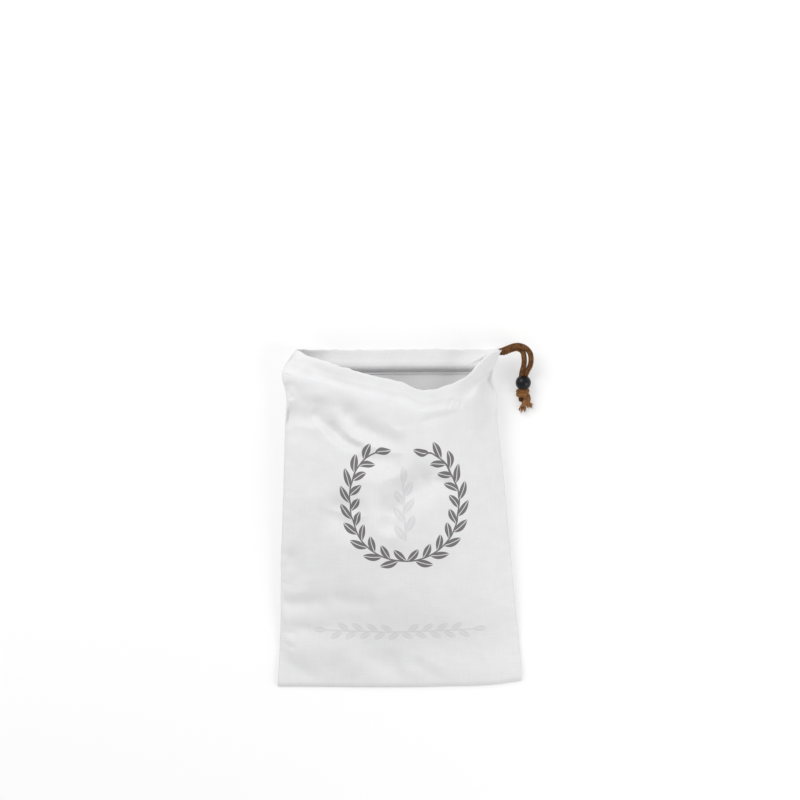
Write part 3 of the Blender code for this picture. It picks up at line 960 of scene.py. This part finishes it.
def sheet_of_cloth(name, points, kept, layers, inside, outer_look, inner_look):
    """The panel as a thin closed sheet, with a map of its cloth in real sizes from its bottom middle."""
    rows, columns = points.shape[:2]
    to_side = np.linalg.norm(np.diff(points, axis=1, prepend=points[:, :1]), axis=-1).cumsum(axis=1)
    to_side -= to_side[:, columns // 2 : columns // 2 + 1]
    to_top = np.linalg.norm(np.diff(points, axis=0, prepend=points[:1]), axis=-1).cumsum(axis=0)
    number = np.arange(rows * columns).reshape(rows, columns)
    faces = np.stack([number[:-1, :-1], number[:-1, 1:], number[1:, 1:], number[1:, :-1]], axis=-1)
    faces = faces.reshape(-1, 4)[:, ::-inside]
    faces = faces[kept.ravel()[faces].all(axis=1)]
    used, faces = np.unique(faces, return_inverse=True)
    points, faces = points.reshape(-1, 3)[used], faces.reshape(-1, 4).tolist()
    places = np.stack([to_side, to_top], axis=-1).reshape(-1, 2)[used]
    sheet = add_mesh(name, points, faces, outer_look, {"cloth": places}, {"layers": layers.ravel()[used]})
    sheet.data.materials.append(inner_look)
    thickness = sheet.modifiers.new("cloth_thickness", "SOLIDIFY")
    thickness.thickness = CLOTH * MM
    thickness.offset = 0.0
    thickness.material_offset = 1
    thickness.material_offset_rim = 1
    return sheet


# Bleached cotton in plain weave: matt, with a faint grid and slubs, thicker threads that run both ways. It
# is thin, and where two or three layers lie on each other the cloth is painted whiter, as painted light. Its
# threads are 0.4 mm apart, drawn 0.8 mm apart so that they show, and its slubs are a thread wide and about
# 25 mm long.
COTTON_WHITE = "#e2e2e2"
COTTON_SHADE = "#dcdcdd"
COTTON_LAYERS_PAINTED_WHITER = "#ebebed"
THREAD = 0.8
WARP_SLUBS = (900.0, 45.0, 1.0)
WEFT_SLUBS = (38.0, 900.0, 1.0)


def weave_cotton(name):
    """A cotton material with its weave. It returns the sockets of its colour and its weave's cover too."""
    matt = {"Roughness": 0.92, "Sheen Weight": 0.08, "Sheen Roughness": 0.6}
    material, tree, shader = new_material(name, matt)
    place = add_node(tree, "ShaderNodeUVMap", uv_map="cloth")
    fine = math.pi / THREAD / MM
    threads = add_node(tree, "ShaderNodeMapping", {"Vector": place, "Scale": (fine, fine, 1.0)})
    split = add_node(tree, "ShaderNodeSeparateXYZ", {0: threads})
    warp = add_node(tree, MATH, {0: split.outputs["X"]}, operation="SINE")
    weft = add_node(tree, MATH, {0: split.outputs["Y"]}, operation="SINE")
    crossing = add_node(tree, MATH, {0: warp, 1: weft}, operation="MULTIPLY")
    slubs = []
    for scale, start in ((WARP_SLUBS, (0.0, 0.0, 0.0)), (WEFT_SLUBS, (7.0, 3.0, 0.0))):
        drawn_out = add_node(tree, "ShaderNodeMapping", {"Vector": place, "Scale": scale, "Location": start})
        streaks = {"Vector": drawn_out, "Scale": 1.0, "Detail": 2.0}
        slubs.append(add_node(tree, "ShaderNodeTexNoise", streaks))
    slubs = add_node(tree, MATH, {0: slubs[0], 1: slubs[1]}, operation="ADD")
    creasing = add_node(tree, "ShaderNodeTexNoise", {"Vector": place, "Scale": 55.0, "Detail": 3.0})
    patches = add_node(tree, MATH, {0: creasing, 1: slubs}, operation="ADD")
    share = add_node(tree, "ShaderNodeMapRange", {"Value": patches, "From Min": 1.1, "From Max": 1.9})
    blend = {0: share, 6: linear(COTTON_SHADE), 7: linear(COTTON_WHITE)}
    tone = add_node(tree, "ShaderNodeMix", blend, data_type="RGBA")
    # Painted light: where layers of cloth lie on each other, the colour is painted whiter.
    layers = add_node(tree, "ShaderNodeAttribute", attribute_name="layers")
    blend = {0: layers.outputs["Fac"], 6: tone.outputs[2], 7: linear(COTTON_LAYERS_PAINTED_WHITER)}
    tone = add_node(tree, "ShaderNodeMix", blend, data_type="RGBA")
    relief = {}
    for height, strength, distance in ((crossing, 0.3, 0.04), (slubs, 0.5, 0.06), (creasing, 0.5, 0.8)):
        relief.update({"Height": height, "Strength": strength, "Distance": distance * MM})
        relief["Normal"] = add_node(tree, "ShaderNodeBump", relief)
    tree.links.new(relief["Normal"].outputs[0], shader.inputs["Normal"])
    tree.links.new(tone.outputs[2], shader.inputs["Base Color"])
    return material, tone.outputs[2], crossing.outputs[0]


INK_DARK = "#5b5759"
INK_PALE = "#d2d1d3"
INK_EDGE = 0.3
MIDRIB = (0.25, 0.5)
LEAF_LEAN = math.radians(34.0)
FIRST_LEAF = -0.5
LAST_LEAF = 0.6
STEM_IN_TIP_LEAF = 3.5


def number_group(name, inputs):
    """An empty group of shader nodes with number inputs and one number output, with its end nodes."""
    group = bpy.data.node_groups.new(name, "ShaderNodeTree")
    for socket in inputs:
        group.interface.new_socket(socket, in_out="INPUT", socket_type="NodeSocketFloat")
    group.interface.new_socket("Ink", in_out="OUTPUT", socket_type="NodeSocketFloat")
    return group, add_node(group, "NodeGroupInput").outputs, add_node(group, "NodeGroupOutput").inputs


# One printed leaf, pointed at both ends, with its midrib left bare.
leaf, given, result = number_group("printed_leaf", ("Along", "Off", "Length", "Width"))
share = add_node(leaf, MATH, {0: given["Along"], 1: given["Length"]}, operation="DIVIDE")
rest = add_node(leaf, MATH, {0: 1.0, 1: share}, operation="SUBTRACT")
belly = add_node(leaf, MATH, {0: share, 1: rest}, operation="MULTIPLY")
belly = add_node(leaf, MATH, {0: belly, 1: 0.0}, operation="MAXIMUM")
half = add_node(leaf, MATH, {0: belly, 1: given["Width"]}, operation="MULTIPLY")
off = add_node(leaf, MATH, {0: given["Off"]}, operation="ABSOLUTE")
depth = add_node(leaf, MATH, {0: half, 1: 2.0}, operation="MULTIPLY")
depth = add_node(leaf, MATH, {0: depth, 1: off}, operation="SUBTRACT")
blade = add_node(leaf, "ShaderNodeMapRange", {"Value": depth, "From Min": 0.0, "From Max": INK_EDGE})
bare = {"Value": off, "From Min": MIDRIB[0], "From Max": MIDRIB[1]}
midrib = add_node(leaf, "ShaderNodeMapRange", bare)
printed = add_node(leaf, MATH, {0: blade, 1: midrib}, operation="MULTIPLY")
leaf.links.new(printed.outputs[0], result["Ink"])

# A stem with leaves by turns on its two sides and one at its tip.
SPRIG_SOCKETS = ("Along", "Off", "Stem Length", "Stem Width", "Pitch", "Leaf Length", "Leaf Width")
sprig, given, result = number_group("printed_sprig", SPRIG_SOCKETS)
side = add_node(sprig, MATH, {0: given["Off"]}, operation="SIGN")
phase = add_node(sprig, MATH, {0: side, 1: 0.25, 2: 0.25}, operation="MULTIPLY_ADD")
pitches = add_node(sprig, MATH, {0: given["Along"], 1: given["Pitch"]}, operation="DIVIDE")
pitches = add_node(sprig, MATH, {0: pitches, 1: phase}, operation="ADD")
part = add_node(sprig, MATH, {0: pitches}, operation="FRACT")
after = add_node(sprig, MATH, {0: part, 1: given["Pitch"]}, operation="MULTIPLY")
root = add_node(sprig, MATH, {0: given["Along"], 1: after}, operation="SUBTRACT")
past_start = add_node(sprig, MATH, {0: root, 1: FIRST_LEAF}, operation="GREATER_THAN")
before_tip = {0: given["Pitch"], 1: -LAST_LEAF, 2: given["Stem Length"]}
last = add_node(sprig, MATH, before_tip, operation="MULTIPLY_ADD")
before_end = add_node(sprig, MATH, {0: root, 1: last}, operation="LESS_THAN")
off = add_node(sprig, MATH, {0: given["Off"]}, operation="ABSOLUTE")
lean = add_node(sprig, "ShaderNodeCombineXYZ", {"X": after, "Y": off})
turned = {"Vector": lean, "Angle": -LEAF_LEAN}
lean = add_node(sprig, "ShaderNodeVectorRotate", turned, rotation_type="Z_AXIS")
lean = add_node(sprig, "ShaderNodeSeparateXYZ", {0: lean})
size = {"Length": given["Leaf Length"], "Width": given["Leaf Width"]}
side_leaf = add_node(
    sprig, "ShaderNodeGroup", {"Along": lean.outputs["X"], "Off": lean.outputs["Y"], **size}, node_tree=leaf
)
beyond = add_node(sprig, MATH, {0: given["Along"], 1: given["Stem Length"]}, operation="SUBTRACT")
tip_leaf = add_node(sprig, "ShaderNodeGroup", {"Along": beyond, "Off": given["Off"], **size}, node_tree=leaf)
leaves = add_node(sprig, MATH, {0: side_leaf, 1: past_start}, operation="MULTIPLY")
leaves = add_node(sprig, MATH, {0: leaves, 1: before_end}, operation="MULTIPLY")
leaves = add_node(sprig, MATH, {0: leaves, 1: tip_leaf}, operation="MAXIMUM")
on_stem = add_node(sprig, MATH, {0: given["Stem Width"], 1: 0.5}, operation="MULTIPLY")
on_stem = add_node(sprig, MATH, {0: on_stem, 1: off}, operation="SUBTRACT")
on_stem = add_node(sprig, "ShaderNodeMapRange", {"Value": on_stem, "From Min": 0.0, "From Max": INK_EDGE})
begun = add_node(sprig, MATH, {0: given["Along"], 1: 0.0}, operation="GREATER_THAN")
ended = add_node(sprig, MATH, {0: beyond, 1: STEM_IN_TIP_LEAF}, operation="LESS_THAN")
stem = add_node(sprig, MATH, {0: on_stem, 1: begun}, operation="MULTIPLY")
stem = add_node(sprig, MATH, {0: stem, 1: ended}, operation="MULTIPLY")
ink = add_node(sprig, MATH, {0: stem, 1: leaves}, operation="MAXIMUM")
sprig.links.new(ink.outputs[0], result["Ink"])

# The same cotton, screen-printed in two greys: a wreath, an upright sprig inside it, and a row of leaves.
# The ink lies in the weave, so a little cotton shows between its threads.
WREATH_RADIUS = 62.0
WREATH_GAP = 12.0
WREATH_LEAF = 20.0
WREATH_HALF = math.pi * WREATH_RADIUS - WREATH_GAP - WREATH_LEAF
Motif = namedtuple("Motif", "name x up stem stem_width pitch leaf leaf_width")
MOTIFS = (
    Motif("wreath", 10.0, 203.0, WREATH_HALF, 1.9, 17.4, WREATH_LEAF, 8.2),
    Motif("sprig", 10.0, 163.0, 62.0, 2.2, 19.0, 22.0, 8.6),
    Motif("row", 0.0, 62.0, 76.0, 1.8, 15.0, 16.0, 6.4),
)

printed_cotton, tone, cover = weave_cotton("screen_printed_cotton")
tree = printed_cotton.node_tree
shader = tree.nodes["Principled BSDF"]
place = add_node(tree, "ShaderNodeUVMap", uv_map="cloth")
inks = []
for motif in MOTIFS:
    move = {"Vector": place, "Scale": (1 / MM, 1 / MM, 1.0), "Location": (-motif.x, -motif.up, 0.0)}
    from_place = add_node(tree, "ShaderNodeMapping", move)
    split = add_node(tree, "ShaderNodeSeparateXYZ", {0: from_place})
    if motif.name == "wreath":
        either = add_node(tree, MATH, {0: split.outputs["X"]}, operation="ABSOLUTE")
        flipped = add_node(tree, MATH, {0: split.outputs["Y"], 1: -1.0}, operation="MULTIPLY")
        turn = add_node(tree, MATH, {0: either, 1: flipped}, operation="ARCTAN2")
        along = add_node(tree, MATH, {0: turn, 1: WREATH_RADIUS}, operation="MULTIPLY")
        apart = add_node(tree, "ShaderNodeVectorMath", {0: from_place}, operation="LENGTH").outputs["Value"]
        off = add_node(tree, MATH, {0: apart, 1: WREATH_RADIUS}, operation="SUBTRACT")
    elif motif.name == "sprig":
        along, off = split.outputs["Y"], split.outputs["X"]
    else:
        along = add_node(tree, MATH, {0: split.outputs["X"]}, operation="ABSOLUTE")
        off = split.outputs["Y"]
    inputs = dict(zip(SPRIG_SOCKETS, (along, off, *motif[3:])))
    inks.append(add_node(tree, "ShaderNodeGroup", inputs, node_tree=sprig).outputs["Ink"])
dark_ink, upright_ink, row_ink = inks
pale_ink = add_node(tree, MATH, {0: upright_ink, 1: row_ink}, operation="MAXIMUM")
thinner = {"Value": cover, "From Min": -1.0, "To Min": 0.86, "To Max": 0.97}
through = add_node(tree, "ShaderNodeMapRange", thinner)
for ink, colour in ((pale_ink, INK_PALE), (dark_ink, INK_DARK)):
    share = add_node(tree, MATH, {0: ink, 1: through}, operation="MULTIPLY")
    inked = add_node(tree, "ShaderNodeMix", {0: share, 6: tone, 7: linear(colour)}, data_type="RGBA")
    tone = inked.outputs[2]
tree.links.new(tone, shader.inputs["Base Color"])
plain_cotton, _, _ = weave_cotton("plain_woven_cotton")

front_grid = panel_grid(front_surface, FRONT_MOUTH, -1, FRONT_HEM_OUTER, FRONT_HEM_INNER)
front_panel = sheet_of_cloth("front_panel_cloth", *front_grid, -1, printed_cotton, plain_cotton)
stands_for(front_panel, "front_panel")


# Back panel
# The same rectangle of cotton without print. It lies flat on the table and curls up at both sides to meet
# the front panel at the side seams.
BACK_MOUTH = table(Edge, (0, 350.8), (0.3, 349.6), (0.7, 350.2), (1, 349.8))
BACK_FOLDS = table(Fold, (-20, 340, -28, 250, 17, 2.2), (38, 338, 30, 270, 15, 1.8))
BACK_CURL = 0.2
BACK_RIPPLE_START = 0.2


def back_surface(across, down):
    """The middle of the back panel's outer layer, flat on the table but for its curled sides."""
    x, up, from_seam = plan(BACK_MOUTH, across, down)
    seam = seam_height(across, up) - SEAM_LIFT - exit_spread(across, up)
    curl = (1 - np.clip(from_seam / BACK_CURL, 0, 1)) ** 2
    lying = CLOTH / 2
    ripple = np.clip(sum(each_fold(BACK_FOLDS, x, up)) - BACK_RIPPLE_START, 0, None)
    return np.stack([x, up, lying + (seam - lying) * curl + ripple], axis=-1)


back_grid = panel_grid(back_surface, BACK_MOUTH, 1, BACK_HEM_OUTER, BACK_HEM_INNER)
back_panel = sheet_of_cloth("back_panel_cloth", *back_grid, 1, plain_cotton, plain_cotton)
stands_for(back_panel, "back_panel")


# Cord in the casing
# The drawcord's hidden length: from the open end of the casing through the front hem, round inside the left
# side seam, and back through the back hem.
CORD_INWARD = 3.3
HELD_STEP = 0.9
LEFT_TURN = Place(x=-107.6, up=332.8, z=20.8)
HELD_ACROSS = (*np.linspace(EXIT_ACROSS, 0.9, 7), *np.linspace(*CORD_ACROSS, 40))


def held_run(surface, inside, outer_hem):
    """The cord's way through one casing, from the right end to the left, close under the outer layer."""
    across = np.array(HELD_ACROSS)
    outer = np.array(outer_hem[::-1], float)
    bulge = np.interp(cord_down(across), outer[:, 0], outer[:, 1]) * casing_fullness(across)
    return cloth_point(surface, inside, across, cord_down(across), bulge + CORD_INWARD)


held_route = [
    OUTER_ROUTE[0],
    *held_run(front_surface, -1, FRONT_HEM_OUTER),
    LEFT_TURN,
    *held_run(back_surface, 1, BACK_HEM_OUTER)[::-1],
    INNER_ROUTE[0],
]
held_line = smooth_route(held_route, HELD_STEP)
held_cord = braided_cord("cord_in_casing_braid", held_line, CORD_RADIUS, yarn_brown, sides=5)
stands_for(held_cord, "cord_in_casing")


# Casing stitches
# One row of lockstitch in white cotton thread holds each hem down, 23 mm below the mouth edge.
STITCH_PITCH = 3.0
STITCH_LENGTH = 2.5
STITCH_RADIUS = 0.28
STITCHED_ACROSS = (0.014, 0.99)
STITCH_LINE_POINTS = 900
FRONT_STITCH_OFF = CLOTH / 2 + 0.08
BACK_STITCH_OFF = 1.0 + CLOTH / 2 + 0.12
THREAD_WHITE = "#e6e6e8"

# Spun cotton sewing thread: white and nearly matt, with its plies 0.3 mm apart.
spun = {"Base Color": linear(THREAD_WHITE), "Roughness": 0.7}
thread_white, tree, shader = new_material("spun_sewing_thread", spun)
where = add_node(tree, "ShaderNodeTexCoord").outputs["Object"]
plies = add_node(tree, "ShaderNodeTexNoise", {"Vector": where, "Scale": 3500.0, "Detail": 1.0})
twist = add_node(tree, "ShaderNodeBump", {"Height": plies, "Strength": 0.4, "Distance": 0.0001})
tree.links.new(twist.outputs[0], shader.inputs["Normal"])

stitching = bpy.data.node_groups.new("row_of_stitches", "GeometryNodeTree")
stitching.interface.new_socket("Geometry", in_out="INPUT", socket_type="NodeSocketGeometry")
stitch_sockets = {
    socket: stitching.interface.new_socket(socket, in_out="INPUT", socket_type="NodeSocketFloat").identifier
    for socket in ("Stitch Length", "Thread Radius")
}
stitching.interface.new_socket("Geometry", in_out="OUTPUT", socket_type="NodeSocketGeometry")
given = add_node(stitching, "NodeGroupInput").outputs
out = add_node(stitching, "GeometryNodeInputNamedAttribute", {"Name": "out"}, data_type="FLOAT_VECTOR")
along = add_node(stitching, "GeometryNodeInputNamedAttribute", {"Name": "along"}, data_type="FLOAT_VECTOR")
facing = add_node(
    stitching, "FunctionNodeAxesToRotation", {0: out, 1: along}, primary_axis="Z", secondary_axis="X"
)
drop = add_node(stitching, "GeometryNodeMeshUVSphere", {"Segments": 8, "Rings": 6, "Radius": 1.0})
half_length = add_node(stitching, MATH, {0: given["Stitch Length"], 1: 0.5}, operation="MULTIPLY")
thick = given["Thread Radius"]
shape = add_node(stitching, "ShaderNodeCombineXYZ", {"X": half_length, "Y": thick, "Z": thick})
stitch = {"Points": given["Geometry"], "Instance": drop, "Rotation": facing, "Scale": shape}
placed = add_node(stitching, "GeometryNodeInstanceOnPoints", stitch)
made = add_node(stitching, "GeometryNodeRealizeInstances", {0: placed})
looks = add_node(stitching, "GeometryNodeSetMaterial", {"Geometry": made, "Material": thread_white})
add_node(stitching, "NodeGroupOutput", {"Geometry": looks})


def row_of_stitches(name, line, out):
    """A row of stitches along a line on cloth. out is the way that the cloth faces at each point."""
    points = bpy.data.meshes.new(name)
    points.from_pydata(world(line).tolist(), [], [])
    for value_name, vectors in (("out", out), ("along", unit(np.gradient(line, axis=0)))):
        attribute = points.attributes.new(value_name, "FLOAT_VECTOR", "POINT")
        attribute.data.foreach_set("vector", vectors.astype(np.float32).ravel())
    carrier = add_object(name, points)
    maker = carrier.modifiers.new("stitches", "NODES")
    maker.node_group = stitching
    maker[stitch_sockets["Stitch Length"]] = STITCH_LENGTH * MM
    maker[stitch_sockets["Thread Radius"]] = STITCH_RADIUS * MM
    graph = bpy.context.evaluated_depsgraph_get()
    stitches = bpy.data.meshes.new_from_object(carrier.evaluated_get(graph))
    carrier.modifiers.clear()
    carrier.data = stitches
    stitches.shade_smooth()
    return carrier


def stitch_line(surface, inside, off):
    """The places of one row of stitches across a panel, and the way out of the cloth at each."""
    fine = np.linspace(*STITCHED_ACROSS, STITCH_LINE_POINTS)
    line = cloth_point(surface, inside, fine, np.full_like(fine, STITCH_DOWN), 0 * fine)
    run = run_along(line)
    across = np.interp(np.arange(STITCH_PITCH / 2, run[-1], STITCH_PITCH), run, fine)
    down = np.full_like(across, STITCH_DOWN)
    below = cloth_point(surface, inside, across, down, off(across))
    above = cloth_point(surface, inside, across, down, off(across) + 1.0)
    return below, unit(below - above)


line, out = stitch_line(
    front_surface, -1, lambda across: -line_share(across, STITCH_DOWN) - FRONT_STITCH_OFF
)
front_stitches = row_of_stitches("front_casing_stitches", line, out)
line, out = stitch_line(back_surface, 1, lambda across: np.full_like(across, BACK_STITCH_OFF))
back_stitches = row_of_stitches("back_casing_stitches", line, out)
for stitches in (front_stitches, back_stitches):
    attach(stitches, "root")


# Table and light
# A plain white light table of opal acrylic, lit from below, under soft light from all round, with two large
# soft boxes, at the upper left and the lower right.
TABLE_WHITE = "#cdcdcd"
TABLE_GLOW = 0.575
TABLE_TOP = -0.03
TABLE_ENDS = ((-3000, -2800), (3000, -2800), (3000, 3200), (-3000, 3200))
SKY_LIGHT = 0.66

glowing = {"Emission Color": linear(TABLE_WHITE), "Emission Strength": TABLE_GLOW}
frosted = {"Base Color": linear(TABLE_WHITE), "Roughness": 0.9, "Specular IOR Level": 0.2}
table_white, tree, shader = new_material("opal_acrylic", {**frosted, **glowing})
where = add_node(tree, "ShaderNodeTexCoord").outputs["Object"]
grain = add_node(tree, "ShaderNodeTexNoise", {"Vector": where, "Scale": 900.0})
tooth = add_node(tree, "ShaderNodeBump", {"Height": grain, "Strength": 0.05, "Distance": 0.0001})
tree.links.new(tooth.outputs[0], shader.inputs["Normal"])
table_top = add_mesh("table", [(*end, TABLE_TOP) for end in TABLE_ENDS], [(0, 1, 2, 3)], table_white)

SoftBox = namedtuple("SoftBox", "name x y z size watts")
for box in (
    SoftBox(name="upper_left", x=-0.9, y=1.2, z=1.2, size=1.35, watts=17.8),
    SoftBox(name="lower_right", x=1.35, y=-0.45, z=0.9, size=1.05, watts=9.0),
):
    light = bpy.data.lights.new(box.name, "AREA")
    light.shape = "DISK"
    light.size = box.size
    light.energy = box.watts
    lamp = add_object(box.name, light)
    lamp.location = (box.x, box.y, box.z)
    lamp.rotation_euler = (-lamp.location).to_track_quat("-Z", "Y").to_euler()

sky = bpy.data.worlds.new("white_studio")
sky.use_nodes = True
sky.node_tree.nodes["Background"].inputs["Color"].default_value = (1.0, 1.0, 1.0, 1.0)
sky.node_tree.nodes["Background"].inputs["Strength"].default_value = SKY_LIGHT
bpy.context.scene.world = sky
bpy.context.scene.view_settings.view_transform = "Standard"
